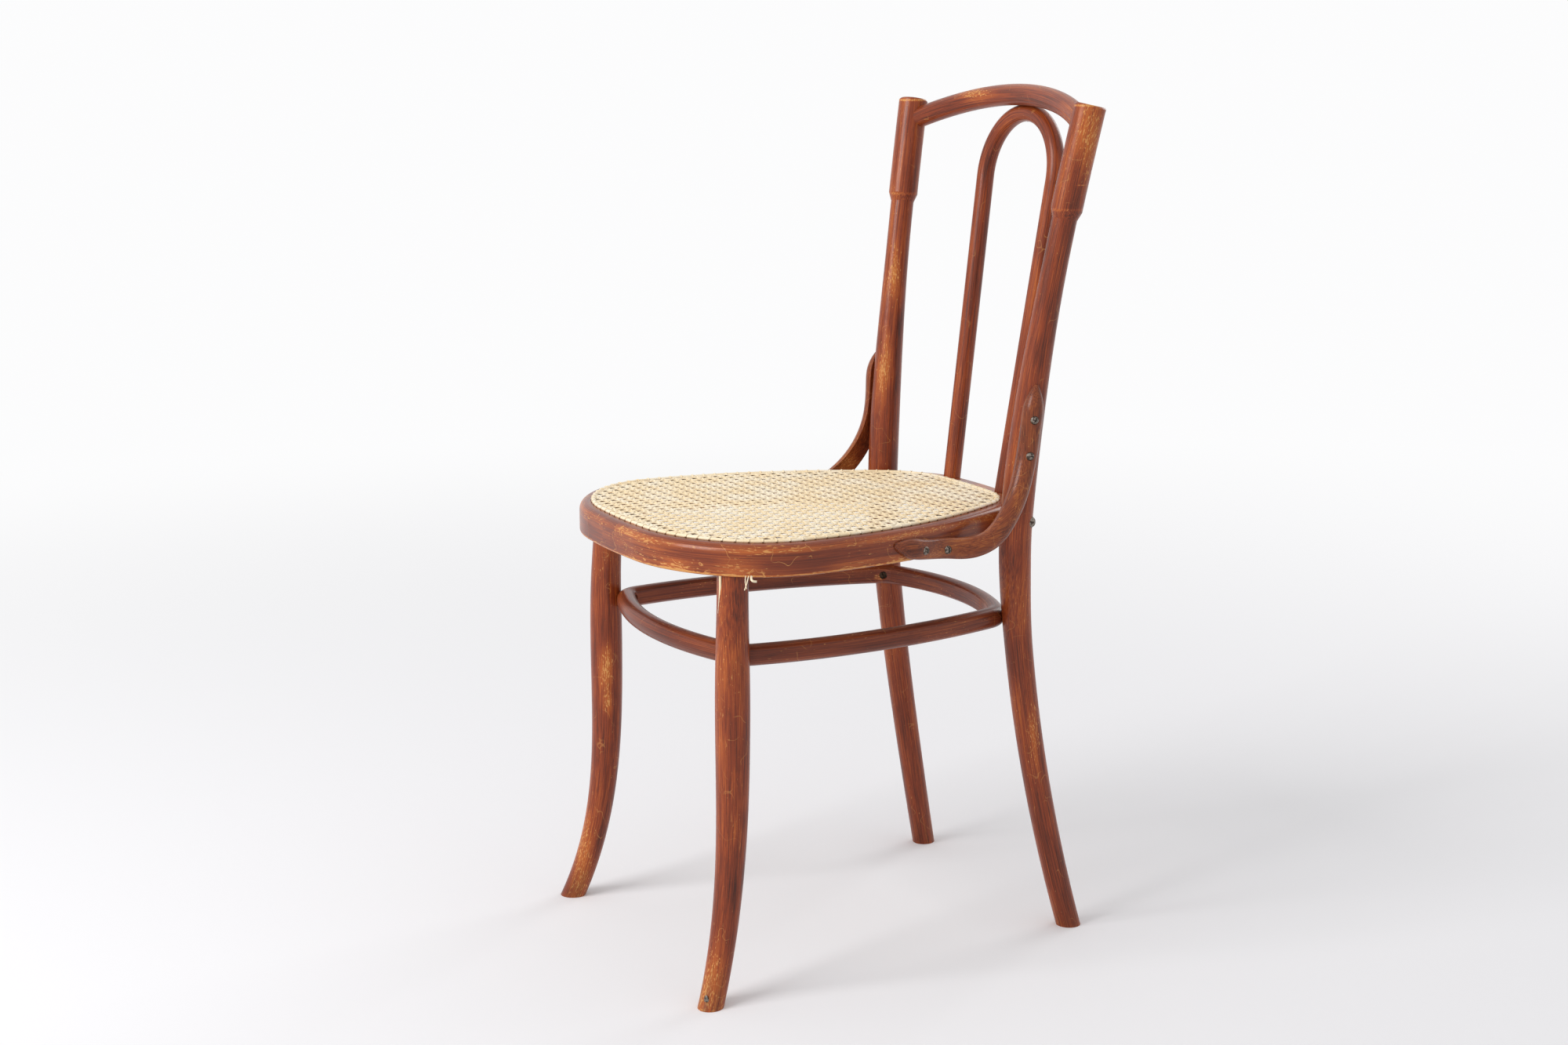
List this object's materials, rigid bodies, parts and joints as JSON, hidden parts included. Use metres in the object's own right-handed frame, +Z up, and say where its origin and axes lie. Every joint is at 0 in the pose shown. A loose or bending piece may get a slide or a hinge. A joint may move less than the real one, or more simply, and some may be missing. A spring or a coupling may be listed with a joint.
{
  "type": "bentwood chair",
  "caption": "Bentwood bistro side chair with a round woven cane seat, an inner back hoop under an arched top rail, hip braces and a bent stretcher ring.",
  "frame": {"origin": "on the floor, under the middle of the whole chair's box", "axes": "+Z up; the sitter looks along -Y; +X is the sitter's left"},
  "size_m": [0.394, 0.5076, 0.8991],
  "materials": {
    "seat_wood": "worn red-brown stain, satin",
    "leg_wood": "worn red-brown stain, satin, golden at the worn edges",
    "back_wood": "worn red-brown stain, satin",
    "stretcher_wood": "dark red-brown stain, satin",
    "brace_wood": "brown stain, satin",
    "cane": "pale straw, dull",
    "cane_strip": "pale straw, satin",
    "screw_steel": "dulled, slotted"
  },
  "bodies": {
    "root": {"seat_ring": "seat_wood", "cane_panel": "cane", "cane_binder": "cane_strip", "front_leg_left": "leg_wood", "front_leg_right": "leg_wood", "back_post_left": "leg_wood", "back_post_right": "leg_wood", "top_rail": "back_wood", "back_hoop": "back_wood", "stretcher_ring": "stretcher_wood", "brace_left": "brace_wood", "brace_right": "brace_wood", "brace_screws": "screw_steel", "stretcher_screws": "screw_steel", "hoop_top_screw": "screw_steel", "seat_bolts": "screw_steel", "seat_bolt_washers": "screw_steel", "seat_bolt_nuts": "screw_steel"}
  },
  "joints": []
}
